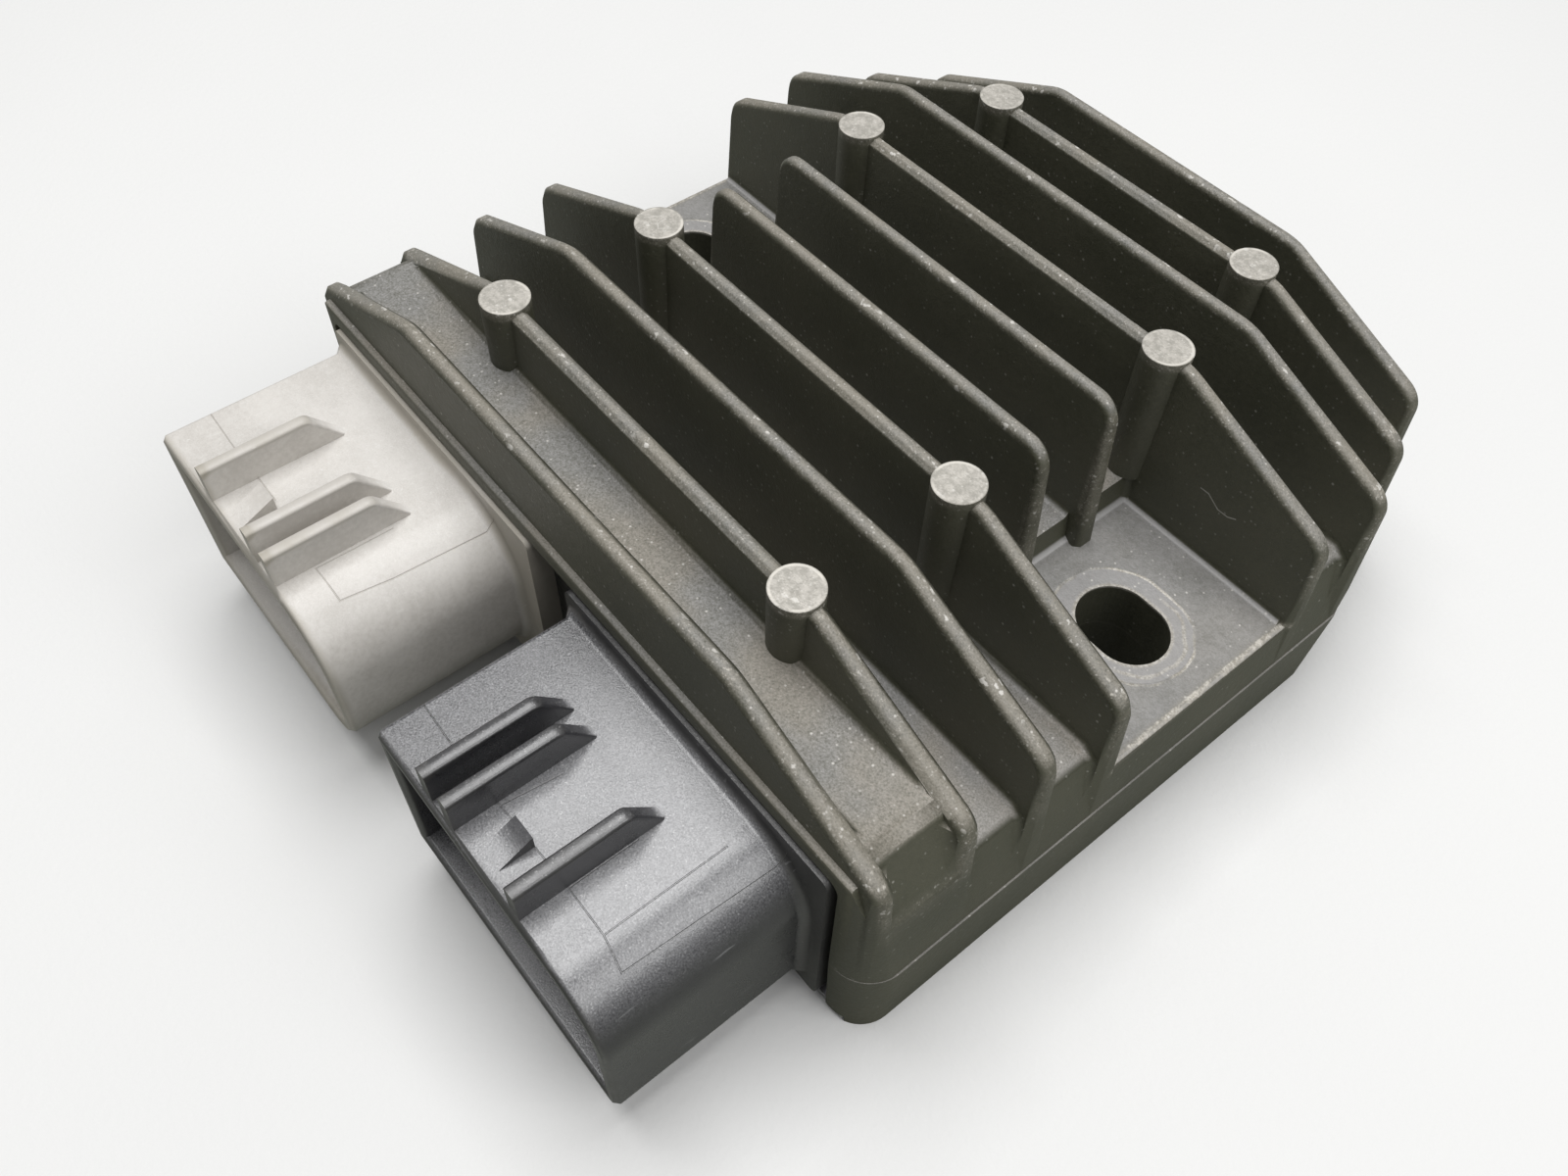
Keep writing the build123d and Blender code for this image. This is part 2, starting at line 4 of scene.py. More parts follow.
import bmesh
import bpy
from mathutils import Euler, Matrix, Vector


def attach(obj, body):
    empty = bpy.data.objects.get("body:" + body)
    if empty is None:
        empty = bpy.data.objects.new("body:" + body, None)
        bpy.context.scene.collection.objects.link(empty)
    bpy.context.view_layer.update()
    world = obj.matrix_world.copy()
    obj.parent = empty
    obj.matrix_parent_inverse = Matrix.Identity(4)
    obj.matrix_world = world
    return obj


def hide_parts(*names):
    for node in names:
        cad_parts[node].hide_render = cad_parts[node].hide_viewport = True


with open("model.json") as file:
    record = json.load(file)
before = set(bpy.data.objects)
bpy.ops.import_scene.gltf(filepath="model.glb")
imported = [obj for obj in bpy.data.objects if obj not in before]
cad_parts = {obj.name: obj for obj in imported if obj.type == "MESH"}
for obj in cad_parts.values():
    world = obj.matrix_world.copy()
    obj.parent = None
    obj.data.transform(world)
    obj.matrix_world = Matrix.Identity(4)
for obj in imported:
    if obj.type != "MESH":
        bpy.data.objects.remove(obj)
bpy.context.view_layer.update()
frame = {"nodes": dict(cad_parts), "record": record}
print("frame loaded")

mm = 0.001
lineCore = 0.3  # share of a drawn line's width that is at full strength


# shader kit: arithmetic on a Wire adds Math nodes to its tree

class Wire:
    def __init__(self, kit, socket):
        self.kit = kit
        self.socket = socket

    def __add__(self, other):
        return self.kit.maths("ADD", self, other)

    def __radd__(self, other):
        return self.kit.maths("ADD", other, self)

    def __sub__(self, other):
        return self.kit.maths("SUBTRACT", self, other)

    def __rsub__(self, other):
        return self.kit.maths("SUBTRACT", other, self)

    def __mul__(self, other):
        return self.kit.maths("MULTIPLY", self, other)

    def __rmul__(self, other):
        return self.kit.maths("MULTIPLY", other, self)

    def __truediv__(self, other):
        return self.kit.maths("DIVIDE", self, other)

    def __rtruediv__(self, other):
        return self.kit.maths("DIVIDE", other, self)

    def __pow__(self, other):
        return self.kit.maths("POWER", self, other)

    def __abs__(self):
        return self.kit.maths("ABSOLUTE", self)


class NodeKit:
    def __init__(self, tree):
        self.tree = tree

    def node(self, kind, settings=None, sockets=None, out=0):
        item = self.tree.nodes.new("ShaderNode" + kind)
        for name, value in (settings or {}).items():
            setattr(item, name, value)
        for name, value in (sockets or {}).items():
            self.feed(item.inputs[name], value)
        return Wire(self, item.outputs[out])

    def feed(self, socket, value):
        if isinstance(value, Wire):
            self.tree.links.new(value.socket, socket)
        elif value is not None:
            socket.default_value = value

    def maths(self, operation, first, second=None):
        return self.node("Math", {"operation": operation}, {0: first, 1: second})


class Finish(NodeKit):
    def __init__(self, name):
        self.material = bpy.data.materials.new(name)
        self.material.use_nodes = True
        super().__init__(self.material.node_tree)
        self.shader = self.tree.nodes["Principled BSDF"]
        metres = self.node("TexCoord", out="Object")
        self.place = self.node("VectorMath", {"operation": "SCALE"}, {0: metres, "Scale": 1 / mm})
        self.x, self.y, self.z = self.split(self.place)  # in mm
        self.up = self.split(self.node("NewGeometry", out="Normal"))[2]

    def split(self, vector):
        first = self.node("SeparateXYZ", None, {0: vector}, "X")
        item = first.socket.node
        return first, Wire(self, item.outputs["Y"]), Wire(self, item.outputs["Z"])

    def larger(self, first, second):
        return self.maths("MAXIMUM", first, second)

    def smaller(self, first, second):
        return self.maths("MINIMUM", first, second)

    def soft(self, value, low, high):  # 0 at low and 1 at high, whichever of them is larger
        sockets = {"Value": value, "From Min": low, "From Max": high}
        return self.node("MapRange", {"interpolation_type": "SMOOTHSTEP"}, sockets)

    def moved(self, shift, stretch=(1, 1, 1)):
        sockets = {"Vector": self.place, "Location": shift, "Scale": stretch}
        return self.node("Mapping", None, sockets)

    def noise(self, size, detail=2, rough=0.5, place=None, bend=0):  # size of its blots in mm
        sockets = {"Vector": place or self.place, "Scale": 1 / size}
        sockets.update({"Detail": detail, "Roughness": rough, "Distortion": bend})
        return self.node("TexNoise", None, sockets)

    def dots(self, size, place=None):  # distance from scattered points, and a value for each cell
        away = self.node("TexVoronoi", None, {"Vector": place or self.place, "Scale": 1 / size})
        colour = Wire(self, away.socket.node.outputs["Color"])
        return away, self.split(colour)[0]

    def blend(self, factor, first, second):
        sockets = {0: factor, 6: self.colour(first), 7: self.colour(second)}
        return self.node("Mix", {"data_type": "RGBA"}, sockets, 2)

    def colour(self, value):
        return value if isinstance(value, Wire) else (*value, 1)

    def bump(self, height, depth, under=None):  # depth in mm of a height from 0 to 1
        return self.node("Bump", None, {"Height": height, "Distance": depth * mm, "Normal": under})

    def line(self, across, width):  # a thin line where a value passes zero
        return self.soft(abs(across), width, width * lineCore)

    def strokes(self, place, lines, width):  # thin strokes in the first two axes of a place
        nearest = None
        for start, end in lines:
            centre = ((start[0] + end[0]) / 2, (start[1] + end[1]) / 2, 0)
            turn = (0, 0, math.atan2(end[1] - start[1], end[0] - start[0]))
            sockets = {"Vector": place, "Location": centre, "Rotation": turn}
            local = self.node("Mapping", {"vector_type": "TEXTURE"}, sockets)
            local = self.node("VectorMath", {"operation": "ABSOLUTE"}, {0: local})
            along, aside, _ = self.split(local)
            away = self.larger(along - math.dist(start, end) / 2, aside)
            nearest = away if nearest is None else self.smaller(nearest, away)
        return self.soft(nearest, width, width * lineCore)

    def finish(self, base, **sockets):
        labels = {"rough": "Roughness", "metal": "Metallic", "gloss": "Specular IOR Level",
                  "normal": "Normal"}
        self.feed(self.shader.inputs["Base Color"], self.colour(base))
        for name, value in sockets.items():
            self.feed(self.shader.inputs[labels[name]], value)
        return self.material


# camera

camera = {
    "place": (64.95, -69.89, 116.10),  # mm from the origin on the underside
    "turn": (36.369, -1.412, 50.758),  # degrees about X, Y and Z
    "lens": 30.583,  # mm, on a sensor of this width
    "sensor": 36,
    "clip": (0.005, 20),  # m
}


def makeCamera():
    data = bpy.data.cameras.new("camera")
    data.sensor_width = camera["sensor"]
    data.lens = camera["lens"]
    data.clip_start, data.clip_end = camera["clip"]
    holder = bpy.data.objects.new("camera", data)
    holder.location = Vector(camera["place"]) * mm
    holder.rotation_euler = Euler([math.radians(angle) for angle in camera["turn"]])
    bpy.context.scene.collection.objects.link(holder)
    bpy.context.scene.camera = holder


# light, in metres and watts

light = {
    "key": {"place": (-0.1, 0.0, 0.62), "size": 0.46, "power": 3.4},
    "fill": {"place": (0.5, 0.1, 0.58), "size": 0.5, "power": 2.4},
    "aim": (0, 0, 0.02),
    "world": 0.28,  # what lights the object
    "backdrop": 0.72,  # what the camera sees behind the floor
}


def makeLamp(name, place, size, power):
    data = bpy.data.lights.new(name, "AREA")
    data.shape = "SQUARE"
    data.size = size
    data.energy = power
    lamp = bpy.data.objects.new(name, data)
    lamp.location = place
    aim = Vector(light["aim"]) - Vector(place)
    lamp.rotation_euler = aim.to_track_quat("-Z", "Y").to_euler()
    bpy.context.scene.collection.objects.link(lamp)


def makeWorld():
    world = bpy.data.worlds.new("studio")
    world.use_nodes = True
    sky = NodeKit(world.node_tree)
    background = sky.tree.nodes["Background"]
    seen = sky.node("LightPath", out="Is Camera Ray")
    limits = {"Value": seen, "To Min": light["world"], "To Max": light["backdrop"]}
    sky.feed(background.inputs["Color"], (1, 1, 1, 1))
    sky.feed(background.inputs["Strength"], sky.node("MapRange", None, limits))
    bpy.context.scene.world = world
    bpy.context.scene.view_settings.view_transform = "Standard"


# floor

floorLook = {
    "size": 6,  # m
    "pale": (0.76, 0.76, 0.75),
    "dark": (0.71, 0.71, 0.705),
    "bounce": (0.30, 0.31, 0.28),  # what it throws back on the object
    "cloudSize": 90,  # mm
    "grainSize": 0.8,
    "relief": 0.05,
    "rough": 0.85,
}


def makeFloor():
    bpy.ops.mesh.primitive_plane_add(size=floorLook["size"], location=(0, 0, 0))
    floor = bpy.context.object
    floor.name = "floor"
    paper = Finish("floorPaper")
    cloud = paper.noise(floorLook["cloudSize"], 3)
    grain = paper.noise(floorLook["grainSize"], 2)
    tone = paper.blend(cloud, floorLook["pale"], floorLook["dark"])
    seen = paper.node("LightPath", out="Is Camera Ray")
    tone = paper.blend(seen, floorLook["bounce"], tone)
    skin = paper.bump(grain, floorLook["relief"])
    floor.data.materials.append(paper.finish(base=tone, rough=floorLook["rough"], normal=skin))


makeCamera()
makeWorld()
for name in ("key", "fill"):
    makeLamp(name, **light[name])
makeFloor()
print("stage made")


# heatsink case: dark casting, rubbed bare along its fins

case = {
    # form in mm, from the CAD
    "pitch": 8.5,
    "fins": 10,
    "top": 34.7,  # height of the ridges
    "end": 41.42,  # from the middle to the end of a long fin
    "bend": 18.2,  # length of the slope at that end
    "drop": 7.6,  # fall of that slope
    "lean": 0.056,  # of the upright end, per mm of height
    "rearInset": 3.5,  # each of the last two fins is this much shorter
    "rearDrop": 1.65,  # and this much lower
    "shortEnd": 22.6,
    "front": -40,
    "ledge": 26.8,
    "pad": 16.8,
    "parting": 11,
    "slot": {"place": 32.25, "half": 0.9, "radius": 3.7},
    "bosses": ((20.52, -29.75, 35.0), (20.52, -12.75, 35.0), (20.52, 12.75, 35.0),
               (17.02, 29.75, 33.35)),
    "bossRadius": 2.35,
    # size of blots in mm
    "patchSize": 11,
    "blotSize": 3.5,
    "wobbleSize": 3.2,
    "mottleSize": 0.9,
    "fineSize": 0.5,
    "gritSize": 0.18,
    # where an edge is untouched and where it is fully worn, in mm from it
    "ridgeWear": (0.8, 0.1),
    "endWear": (0.55, 0.05),
    "endFrom": (18, 24),  # height from which the fin ends wear
    "bendRub": (3.5, 0.3),
    "cornerRub": (3, 0.5),
    "cornerInset": 1.5,
    "ledgeWear": (0.5, 0.1),
    "padWear": (0.7, 0.1),
    "padSide": (40.6, 41.2),  # where the outer rim of a pad begins
    "padHalf": (13, 12),  # and where it ends along the case
    "partingWidth": 0.16,
    "bossRimInset": 0.16,
    "bossRimWidth": 0.2,
    # washer marks, in mm outside a slot
    "lip": (0.45, 0.1),
    "innerRing": 1.25,
    "innerWidth": 0.28,
    "outerRing": 2.1,
    "outerWidth": 0.2,
    "ringUneven": 0.9,
    "ringBlur": 0.2,
    # curls scratched into a boss, in X and Y, and into a fin wall, in X and Z
    "scratchWidth": 0.09,
    "bossCurl": ((-22.0, -13.4), (-21.3, -12.0), (-20.6, -11.9), (-20.5, -12.9), (-19.9, -13.3),
                 (-19.2, -12.3)),
    "wallCurl": ((28.9, 24.5), (29.8, 24.5), (31.2, 23.6), (32.3, 23.6), (33.1, 24.0)),
    "wallCurlPlace": 11.3,
    # specks, chips and flecks: mm from one to the next, and in cells where one fades and is full
    "speckSize": 0.5,
    "speckReach": (0.3, 0.12),
    "chipSize": 1.6,
    "chipReach": (0.11, 0.05),
    "fleckSize": 0.8,
    "fleckReach": (0.24, 0.1),
    # tones
    "coat": (0.055, 0.056, 0.035),
    "coatWarm": (0.074, 0.073, 0.048),
    # dust on upward faces, with their painted sheen in it
    "dustAndSheen": (0.37, 0.36, 0.36),
    "dustAndSheenWarm": (0.385, 0.35, 0.31),
    "rootHighlight": (0.50, 0.49, 0.49),
    # painted highlight along the roots of the walls
    "pressed": (0.36, 0.35, 0.35),
    "worn": (0.23, 0.213, 0.175),
    "rubbed": (0.34, 0.31, 0.255),
    "bare": (0.62, 0.59, 0.53),
    "bossDark": (0.33, 0.315, 0.28),
    "bossPale": (0.50, 0.475, 0.43),
    "bossRim": (0.66, 0.63, 0.57),
    "speck": (0.62, 0.60, 0.56),
    # painted shade inside the slots
    "slotPaintedShade": (0.02, 0.02, 0.018),
    # surface
    "filmAndSheenAmount": 0.66,
    "rootHighlightAmount": 0.45,
    "pressAmount": 0.45,
    "rough": 0.52,
    "gloss": 0.62,
    "relief": 0.1,  # mm
}


def castFinish():  # a pair of numbers in soft() is where a layer starts and where it is full
    cast = Finish("castAluminium")
    x, y, z, up = cast.x, cast.y, cast.z, cast.up
    side = abs(x)
    pad = case["pad"]

    # place on the fin that is nearest
    middleFin = (case["fins"] - 1) / 2
    fin = cast.maths("ROUND", y / case["pitch"] + middleFin)
    rear = cast.larger(fin - (case["fins"] - 3), 0)
    top = case["top"] - rear * case["rearDrop"]
    end = case["end"] - rear * case["rearInset"]
    isShort = cast.maths("LESS_THAN", abs(fin - middleFin), 1)
    pastBend = side - end + case["bend"]
    slope = cast.larger(pastBend, 0) * (case["drop"] / case["bend"])
    below = top - slope * (1 - isShort) - z
    reach = end + (top - case["drop"] - z) * case["lean"]
    inward = isShort * (case["shortEnd"] - side) + (1 - isShort) * (reach - side)

    patchy = cast.noise(case["patchSize"], 2, 0.55)
    blots = cast.noise(case["blotSize"], 3, 0.6)
    fine = cast.noise(case["fineSize"], 2, 0.6)
    grit = cast.noise(case["gritSize"], 1, 0.7)
    upward = cast.soft(up, 0.35, 0.95)
    isPad = cast.soft(z, pad + 1.7, pad + 0.7)
    atPad = cast.soft(abs(z - pad), 0.3, 0.05)

    # fin ridges are worn, and rubbed bare here and there, mostly at their bends and corners
    ridge = cast.soft(below, *case["ridgeWear"])
    ends = cast.soft(inward, *case["endWear"]) * cast.soft(z, *case["endFrom"])
    bend = cast.soft(abs(pastBend), *case["bendRub"]) * ridge
    corner = cast.soft(abs(side - end + case["cornerInset"]), *case["cornerRub"]) * ridge
    edge = cast.larger(ridge, ends * 0.8)
    worn = edge * (0.5 + (blots - 0.5) * 1.6 + (fine - 0.5) * 0.8)
    rub = edge * 0.42 + blots * 0.5 + fine * 0.6 + cast.larger(bend, corner) * 0.14
    rub = cast.soft(rub, 1.14, 1.34)

    # other edges: ledge over the sockets, parting line and pad rims
    # the upward face of the ledge lip is worn, and also painted lighter as a highlight
    ledge = cast.soft(abs(z - case["ledge"]), *case["ledgeWear"])
    ledge = ledge * cast.soft(y, case["front"] + 1.4, case["front"] + 0.6) * cast.soft(up, 0.1, 0.6)
    parting = cast.line(z - case["parting"], case["partingWidth"])
    padRim = cast.soft(abs(z - pad), *case["padWear"])
    padRim = padRim * cast.soft(side, *case["padSide"]) * cast.soft(abs(y), *case["padHalf"])
    otherEdge = cast.larger(cast.larger(ledge * 0.45, parting * 0.35), padRim * 0.8)
    otherRub = cast.soft(otherEdge + blots * 0.5 + fine * 0.4, 1.08, 1.35)
    rub = cast.larger(rub, otherRub * 0.8)
    worn = cast.larger(worn, otherEdge * 0.6)

    # boss tops are bare and mottled, with a rim that is bright in places
    bareTop = None
    bossRim = None
    radius = case["bossRadius"]
    for along, across, height in case["bosses"]:
        away = cast.maths("SQRT", (side - along) ** 2 + (y - across) ** 2)
        flat = cast.soft(away, radius + 0.05, radius - 0.15)
        flat = flat * cast.soft(z, height - 0.25, height - 0.05)
        ring = cast.line(away - radius + case["bossRimInset"], case["bossRimWidth"]) * flat
        bareTop = flat if bareTop is None else cast.larger(bareTop, flat)
        bossRim = ring if bossRim is None else cast.larger(bossRim, ring)

    # washers have pressed and rubbed an uneven ring round each slot
    slot = case["slot"]
    pastSlot = cast.larger(abs(side - slot["place"]) - slot["half"], 0)
    ringAway = cast.maths("SQRT", pastSlot ** 2 + y ** 2) - slot["radius"]
    wobble = (cast.noise(case["wobbleSize"], 2) - 0.5) * case["ringUneven"]
    outer = cast.line(ringAway - case["outerRing"] + wobble, case["outerWidth"])
    outer = outer * cast.soft(blots, 0.3, 0.6)
    inner = cast.line(ringAway - case["innerRing"] + wobble * 1.3, case["innerWidth"])
    inner = inner * cast.soft(patchy, 0.42, 0.6) * 0.7
    lip = cast.soft(ringAway, *case["lip"])
    rim = (case["outerRing"], case["outerRing"] - case["ringBlur"])
    press = cast.soft(ringAway + wobble, *rim)
    rings = cast.larger(cast.larger(outer, inner) * 0.75, lip * 0.6) * atPad
    rub = cast.larger(rub, rings)

    # the curls
    bossCurl = list(zip(case["bossCurl"], case["bossCurl"][1:]))
    wallCurl = list(zip(case["wallCurl"], case["wallCurl"][1:]))
    wallPlace = cast.node("CombineXYZ", None, {"X": x, "Y": z})
    onBoss = cast.strokes(cast.place, bossCurl, case["scratchWidth"])
    onBoss = onBoss * cast.soft(z, case["top"], case["top"] + 0.2)
    onWall = cast.strokes(wallPlace, wallCurl, case["scratchWidth"])
    onWall = onWall * cast.soft(abs(y - case["wallCurlPlace"]), 1.2, 0.8)
    curls = cast.larger(onBoss, onWall)

    # specks and chips, most of them where dust can settle, and painted glints along the worn edges
    away, pick = cast.dots(case["speckSize"])
    speck = cast.soft(away, *case["speckReach"]) * cast.soft(pick, 0.72 + isPad * 0.15, 0.98)
    away, pick = cast.dots(case["chipSize"])
    chip = cast.soft(away, *case["chipReach"]) * cast.soft(pick, 0.7, 0.8)
    away, _ = cast.dots(case["fleckSize"], cast.moved((3, 1, 2), (0.45, 1, 1)))
    fleck = cast.soft(away + (fine - 0.5) * 1.1, *case["fleckReach"])
    fleck = fleck * edge * cast.soft(blots, 0.46, 0.58)
    glint = cast.soft(grit, 0.6, 0.72) * edge * cast.soft(fine, 0.45, 0.62)
    specksAndGlints = cast.larger(speck * (0.22 + upward * 0.5), chip * (0.35 + upward * 0.5))
    specksAndGlints = cast.larger(cast.larger(specksAndGlints, fleck * 0.85), glint * 0.5)

    # coat under a film of dust, which also paints the upward faces lighter as the sheen of the
    # light on them
    low = cast.soft(z, 22, 20) * 0.12
    grainy = (grit - 0.5) * (1.5 - isPad * 0.9)
    filmAndSheen = 0.5 + low + patchy * 0.35 + grainy + (fine - 0.5) * 0.5 + isPad * (blots - 0.45) * 0.5
    filmAndSheen = upward * filmAndSheen
    mixed = cast.soft(patchy * 0.6 + fine * 0.4, 0.35, 0.65)
    tone = cast.blend(mixed, case["coat"], case["coatWarm"])
    warm = cast.soft(patchy, 0.4, 0.62) * (1 - isPad * 0.8)
    dustAndSheen = cast.blend(warm, case["dustAndSheen"], case["dustAndSheenWarm"])
    tone = cast.blend(filmAndSheen * case["filmAndSheenAmount"], tone, dustAndSheen)
    # painted highlight along the rounded roots of the walls, strongest at the pads
    root = cast.soft(up, 0.3, 0.6) * cast.soft(up, 0.98, 0.9) * cast.soft(z, 22.5, 21.3)
    root = root * (0.08 + cast.soft(z, pad + 1.4, pad + 0.8) * case["rootHighlightAmount"])
    tone = cast.blend(root, tone, case["rootHighlight"])
    tone = cast.blend(press * atPad * case["pressAmount"], tone, case["pressed"])

    # wear over the dust
    tone = cast.blend(worn * (0.85 + (grit - 0.5) * 2.4), tone, case["worn"])
    rubTone = cast.blend(cast.soft(grit + fine - 0.5, 0.3, 0.75), case["rubbed"], case["bare"])
    tone = cast.blend(rub, tone, rubTone)
    mottle = cast.soft(grit * 0.35 + cast.noise(case["mottleSize"], 2, 0.6) * 0.65, 0.36, 0.66)
    tone = cast.blend(bareTop * 0.95, tone, cast.blend(mottle, case["bossDark"], case["bossPale"]))
    tone = cast.blend(bossRim * cast.soft(blots, 0.42, 0.6) * 0.8, tone, case["bossRim"])
    tone = cast.blend(cast.larger(specksAndGlints, curls * 0.5), tone, case["speck"])
    # painted shade inside the slots
    inSlot = cast.soft(ringAway, 0.02, -0.05) * cast.soft(z, pad + 0.4, pad - 0.2)
    tone = cast.blend(inSlot * 0.75, tone, case["slotPaintedShade"])

    shine = cast.larger(rub * 0.25, bareTop * 0.12)
    rough = case["rough"] + (fine - 0.5) * 0.25 + patchy * 0.06 - shine * 0.2
    rough = rough - press * atPad * 0.06
    dished = cast.soft(ringAway, *rim) * atPad
    skin = cast.bump(grit * 0.3 + fine * 0.42 + blots - dished * 0.4, case["relief"])
    return cast.finish(base=tone, rough=rough, metal=shine, gloss=case["gloss"], normal=skin)


# socket housings: moulded plastic, the grey one and the black one

socket = {
    # form in mm, from the CAD
    "top": 23.2,
    "mouth": -59.4,
    "flange": -40.4,
    "onTop": (19, 20.5),  # heights between which the seams fade in on the rounding
    "ribs": (23.5, 24.5),  # heights between which the film and painted sheen thin out
    "crest": (25.8, 26.6),  # heights between which dirt comes on the ribs
    # size of blots in mm
    "patchSize": 7,
    "waveSize": 4,
    "fineSize": 0.45,
    "grainSize": 0.14,
    "scratchSize": 0.5,
    "lintSize": 2.3,
    # seams, dirt and surface
    "rimDirt": (1.6, 0.1),  # mm from the mouth
    "footDirt": (1.2, 0.1),  # mm from the flange
    "highlightReach": (19, 2),  # mm from the middle of the painted highlight
    "highlightUneven": 12,
    "seamWidth": 0.08,
    "seamAmount": 0.25,
    "scratchAmount": 0.35,
    "lintAmount": 0.7,
    "ribFilm": 0.7,  # share of the film and painted sheen that the ribs lack
    "glint": (0.75, 0.75, 0.74),
    "relief": 0.1,  # mm
    "grainRelief": 0.12,  # shares of it
    "waveRelief": 0.4,
    "seamRelief": 0.5,
}

greySocket = {
    "name": "greyPlastic",
    "tones": ((0.50, 0.475, 0.44), (0.60, 0.575, 0.54)),
    "filmAndSheen": (0.68, 0.66, 0.63),
    "filmAndSheenAmount": 0.6,
    "rubbed": (-22, -47),  # middle of the painted highlight on its top, in mm
    "dirt": (0.24, 0.21, 0.14),
    "dirtAmount": 0.5,
    "rough": 0.40,
    "gloss": 0.5,
    "shift": 3,  # sets its blots apart from those of the other one
    "seams": (
        ((-9.5, -55.3), (-9.0, -50.5)), ((-9.0, -50.5), (-8.6, -40.4)),
        ((-13.35, -55.4), (-9.5, -55.3)), ((-13.35, -55.4), (-13.2, -48)),
        ((-36, -54.5), (-29.4, -54.7)), ((-20.4, -54.6), (-16, -54.8)),
        ((-26, -54.6), (-22.5, -54.6))),
}

blackSocket = {
    "name": "blackPlastic",
    "tones": ((0.015, 0.015, 0.017), (0.025, 0.025, 0.028)),
    "filmAndSheen": (0.30, 0.30, 0.31),
    "filmAndSheenAmount": 0.8,
    # middle of the painted highlight on its top, in mm
    "rubbed": (23, -51),
    "dirt": (0.09, 0.087, 0.078),
    "dirtAmount": 0.3,
    "rough": 0.29,
    "gloss": 0.95,
    "shift": 11,
    "seams": (
        ((32.3, -55.3), (32.8, -40.4)), ((29.5, -54.85), (29.55, -43.6)),
        ((24.9, -54.8), (29.5, -54.85)), ((29.5, -54.85), (32.3, -55.3)),
        ((24.9, -54.8), (24.9, -48.5)), ((4.2, -55.1), (9.84, -55.28)),
        ((13.5, -55.2), (24.9, -54.8)), ((15.97, -55.15), (16.64, -49.9))),
}


def plasticFinish(look):
    plastic = Finish(look["name"])
    x, y, z = plastic.x, plastic.y, plastic.z
    shift = look["shift"]
    upward = plastic.soft(plastic.up, 0.3, 0.95)
    patchy = plastic.noise(socket["patchSize"], 3, 0.6, plastic.moved((shift, 2, 5)))
    fine = plastic.noise(socket["fineSize"], 2, 0.6)
    grain = plastic.noise(socket["grainSize"], 1, 0.5)

    onTop = plastic.soft(z, *socket["onTop"])
    onTop = onTop * plastic.soft(z, socket["top"] + 0.3, socket["top"] + 0.05)
    seams = plastic.strokes(plastic.place, look["seams"], socket["seamWidth"]) * onTop

    # dirt gathers at the rim, on the ribs and at the flange
    rim = plastic.soft(y, *[socket["mouth"] + away for away in socket["rimDirt"]])
    foot = plastic.soft(y, *[socket["flange"] - away for away in socket["footDirt"]])
    crest = plastic.soft(z, *socket["crest"])
    grime = rim * 0.5 + foot * 0.6 + crest * 0.45 + patchy * 0.75 + fine * 0.25
    grime = plastic.soft(grime, 0.72, 1.15)

    drawn = plastic.moved((shift, 0, 0), (1, 0.12, 1))
    drawn = plastic.noise(socket["scratchSize"], 1, 0.5, drawn, 0.6)
    scratches = plastic.soft(drawn, 0.71, 0.75) * plastic.soft(plastic.noise(5, 2), 0.5, 0.62)
    away, _ = plastic.dots(socket["lintSize"], plastic.moved((shift, 4, 4), (1, 0.5, 1)))
    lint = plastic.soft(away, 0.06, 0.02) * upward

    # a dull film and a painted sheen lie on top, painted brightest round one spot as a highlight,
    # and the ribs get less of them
    tone = plastic.blend(plastic.soft(patchy * 0.6 + fine * 0.4, 0.35, 0.65), *look["tones"])
    across = x - look["rubbed"][0]
    along = y - look["rubbed"][1]
    away = plastic.maths("SQRT", across * across + along * along)
    away = away + (patchy - 0.5) * socket["highlightUneven"]
    highlightZone = plastic.soft(away, *socket["highlightReach"])
    filmAndSheenLevel = 0.34 + highlightZone * 0.5 + (patchy - 0.5) * 0.5 + (grain - 0.5) * 1.6
    ribs = plastic.soft(z, *socket["ribs"])
    filmAndSheen = upward * look["filmAndSheenAmount"] * filmAndSheenLevel * (1 - ribs * socket["ribFilm"])
    tone = plastic.blend(filmAndSheen, tone, look["filmAndSheen"])
    # painted glints, most of them in the painted highlight
    glint = plastic.soft(grain, 0.58, 0.72) * plastic.soft(fine, 0.5, 0.65)
    tone = plastic.blend(glint * upward * (0.12 + highlightZone * 0.3), tone, socket["glint"])
    tone = plastic.blend(grime * look["dirtAmount"], tone, look["dirt"])
    marks = plastic.larger(scratches * socket["scratchAmount"], lint * socket["lintAmount"])
    tone = plastic.blend(marks, tone, look["filmAndSheen"])
    tone = plastic.blend(seams * socket["seamAmount"], tone, look["dirt"])

    rough = look["rough"] + (fine - 0.5) * 0.16 + (patchy - 0.5) * 0.14 + grime * 0.12
    height = grain * socket["grainRelief"]
    height = height + plastic.noise(socket["waveSize"], 1) * socket["waveRelief"]
    skin = plastic.bump(height - seams * socket["seamRelief"], socket["relief"])
    return plastic.finish(base=tone, rough=rough, gloss=look["gloss"], normal=skin)


# bottom plate: thin brushed sheet with stains

plate = {
    "bright": (0.58, 0.57, 0.60),
    "stain": (0.42, 0.40, 0.38),
    "scratch": (0.78, 0.78, 0.78),
    "stainSize": 8,
    "brushSize": 0.35,
    "scratchSize": 0.6,
    "metal": 0.9,
    "rough": 0.32,
    "brushRelief": 0.012,
    "dentRelief": 0.05,
}


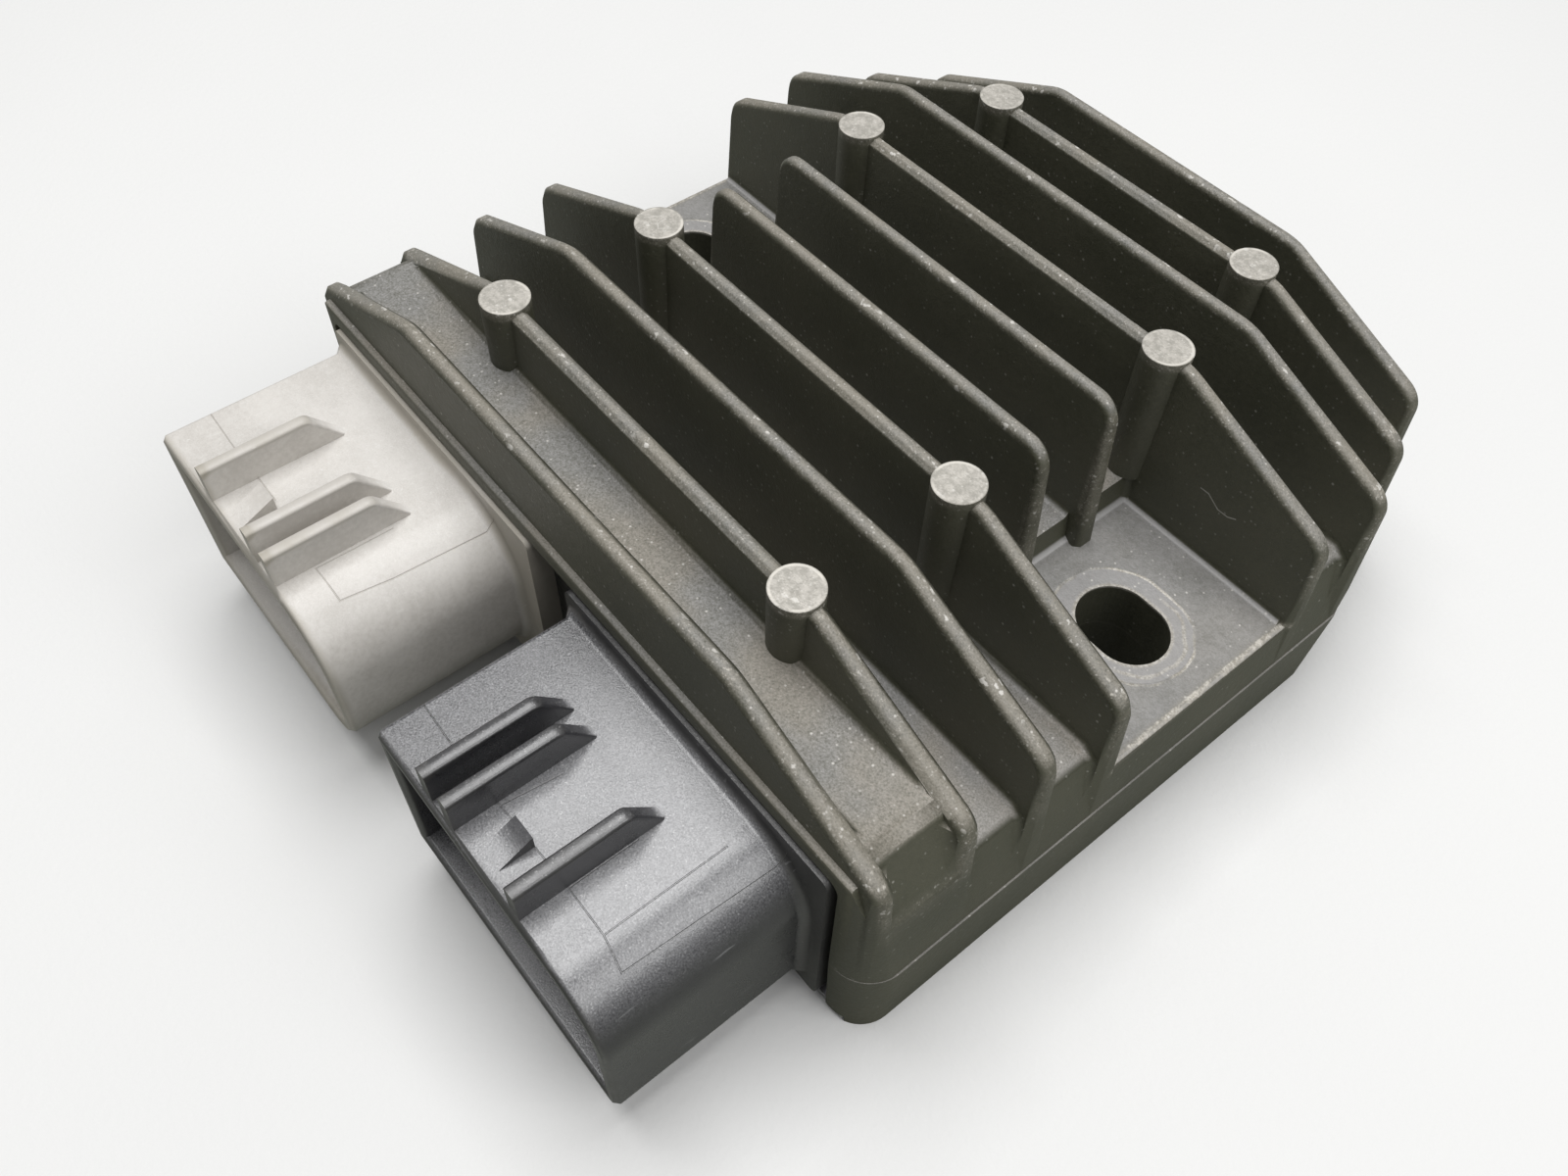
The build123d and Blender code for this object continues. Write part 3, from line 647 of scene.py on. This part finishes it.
def plateFinish():
    sheet = Finish("plateMetal")
    brushed = sheet.noise(plate["brushSize"], 3, 0.6, sheet.moved((0, 0, 0), (0.06, 1, 1)))
    blots = sheet.noise(plate["stainSize"], 4, 0.6)
    stain = sheet.soft(blots, 0.52, 0.72)
    tone = sheet.blend(stain, plate["bright"], plate["stain"])
    scratch = sheet.moved((3, 3, 3), (1, 0.05, 1))
    scratch = sheet.noise(plate["scratchSize"], 1, 0.5, scratch, 0.4)
    tone = sheet.blend(sheet.soft(scratch, 0.68, 0.74) * 0.5, tone, plate["scratch"])
    rough = plate["rough"] + brushed * 0.16 + stain * 0.12
    skin = sheet.bump(blots, plate["dentRelief"], sheet.bump(brushed, plate["brushRelief"]))
    return sheet.finish(base=tone, rough=rough, metal=plate["metal"], normal=skin)


# terminals: tinned blades, duller in spots

blade = {
    "tin": (0.72, 0.70, 0.66),
    "dull": (0.50, 0.46, 0.40),
    "drawnSize": 0.25,
    "spotSize": 1.6,
    "rough": 0.25,
    "relief": 0.01,
}


def bladeFinish():
    tinned = Finish("terminalMetal")
    drawn = tinned.noise(blade["drawnSize"], 3, 0.6, tinned.moved((0, 0, 0), (1, 0.08, 1)))
    spots = tinned.soft(tinned.noise(blade["spotSize"], 3), 0.45, 0.7)
    tone = tinned.blend(spots, blade["tin"], blade["dull"])
    rough = blade["rough"] + drawn * 0.2
    skin = tinned.bump(drawn, blade["relief"])
    return tinned.finish(base=tone, rough=rough, metal=1.0, normal=skin)


# what the case hides: name, two tones, size of blots in mm, roughness, metal and relief in mm

hidden = {
    "thermal_sheet": (
        "thermalSheet", (0.32, 0.36, 0.40), (0.38, 0.42, 0.46), 2, 0.7, 0, 0.02),
    "power_board": (
        "powerBoard", (0.50, 0.50, 0.48), (0.60, 0.60, 0.58), 3, 0.45, 0.2, 0.02),
    "device_package": (
        "devicePackage", (0.018, 0.018, 0.018), (0.03, 0.03, 0.03), 1.2, 0.5, 0, 0.02),
    "control_board": (
        "controlBoard", (0.02, 0.10, 0.04), (0.03, 0.14, 0.06), 2.5, 0.4, 0, 0.02),
    "can_metal": (
        "canMetal", (0.55, 0.55, 0.57), (0.70, 0.70, 0.72), 2, 0.3, 1, 0.01),
    "pin_metal": (
        "pinMetal", (0.70, 0.62, 0.42), (0.80, 0.72, 0.50), 1, 0.3, 1, 0.005),
    "screw_metal": (
        "screwMetal", (0.50, 0.50, 0.50), (0.66, 0.66, 0.66), 1, 0.35, 1, 0.01),
    "resin": (
        "pottingResin", (0.012, 0.012, 0.013), (0.022, 0.021, 0.020), 5, 0.42, 0, 0.12),
}


def hiddenFinish(name, low, high, size, rough, metal, relief):
    inner = Finish(name)
    blots = inner.noise(size, 4, 0.6)
    fine = inner.noise(size / 8, 2)
    tone = inner.blend(blots, low, high)
    skin = inner.bump(blots * 0.6 + fine * 0.4, relief)
    return inner.finish(base=tone, rough=rough + (fine - 0.5) * 0.2, metal=metal, normal=skin)


finishes = {
    "cast_aluminium": castFinish(),
    "grey_plastic": plasticFinish(greySocket),
    "black_plastic": plasticFinish(blackSocket),
    "plate_metal": plateFinish(),
    "terminal_metal": bladeFinish(),
}
for slot, look in hidden.items():
    finishes[slot] = hiddenFinish(*look)
print("finishes made")


# the case and the sockets keep their form and are shaded smooth over their rounded edges

shading = {
    "merge": 0.002,  # mm between corners that are one
    "flat": 0.5,  # degrees between faces that are one
    "sharp": 52,  # degrees from which an edge stays sharp
    "weight": 50,  # how far the large faces set the shading
}

replaced = {
    "heatsink_case": "caseCasting",
    "grey_socket_housing": "greySocket",
    "black_socket_housing": "blackSocket",
}


def smoothed(name, node, slot):
    mesh = frame["nodes"][node].data.copy()
    shape = bmesh.new()
    shape.from_mesh(mesh)
    bmesh.ops.remove_doubles(shape, verts=shape.verts, dist=shading["merge"] * mm)
    flat = math.radians(shading["flat"])
    bmesh.ops.dissolve_limit(shape, angle_limit=flat, verts=shape.verts, edges=shape.edges)
    for face in shape.faces:
        face.smooth = True
        face.material_index = 0
    sharp = math.radians(shading["sharp"])
    for line in shape.edges:
        line.smooth = len(line.link_faces) == 2 and line.calc_face_angle() < sharp
    shape.to_mesh(mesh)
    shape.free()
    mesh.materials.clear()
    mesh.materials.append(finishes[slot])
    piece = bpy.data.objects.new(name, mesh)
    bpy.context.scene.collection.objects.link(piece)
    weighted = piece.modifiers.new("weighted", "WEIGHTED_NORMAL")
    weighted.keep_sharp = True
    weighted.weight = shading["weight"]
    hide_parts(node)
    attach(piece, "root")


slots = {row["node"]: row["material_slot"] for row in frame["record"]["subparts"]}
for node, piece in frame["nodes"].items():
    if node in replaced:
        smoothed(replaced[node], node, slots[node])
    else:
        piece.data.materials.clear()
        piece.data.materials.append(finishes[slots[node]])
print("pieces dressed")
